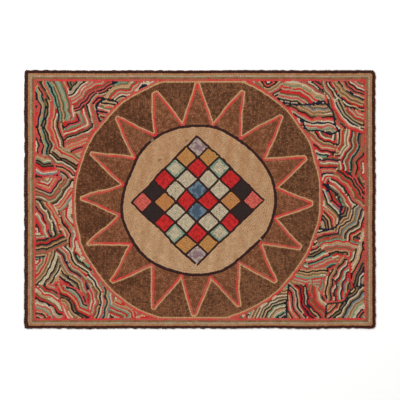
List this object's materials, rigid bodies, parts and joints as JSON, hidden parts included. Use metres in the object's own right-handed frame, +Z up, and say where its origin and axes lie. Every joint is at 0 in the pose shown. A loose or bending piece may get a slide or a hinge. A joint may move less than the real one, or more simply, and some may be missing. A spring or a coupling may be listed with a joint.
{
  "type": "hooked wool area rug",
  "caption": "Flat hand-hooked wool rug with a striped border, a round medallion with a sunburst star and a chequered diamond.",
  "frame": {"origin": "on the surface that the rug lies on, under the middle of the rug", "axes": "+X along the long side, +Y along the short side, +Z up out of the pile"},
  "size_m": [1.017, 0.7482, 0.0082],
  "materials": {
    "wool_pile": "matte wool loops",
    "foundation": "matte burlap"
  },
  "bodies": {
    "root": {"rug": "wool_pile"}
  },
  "joints": []
}
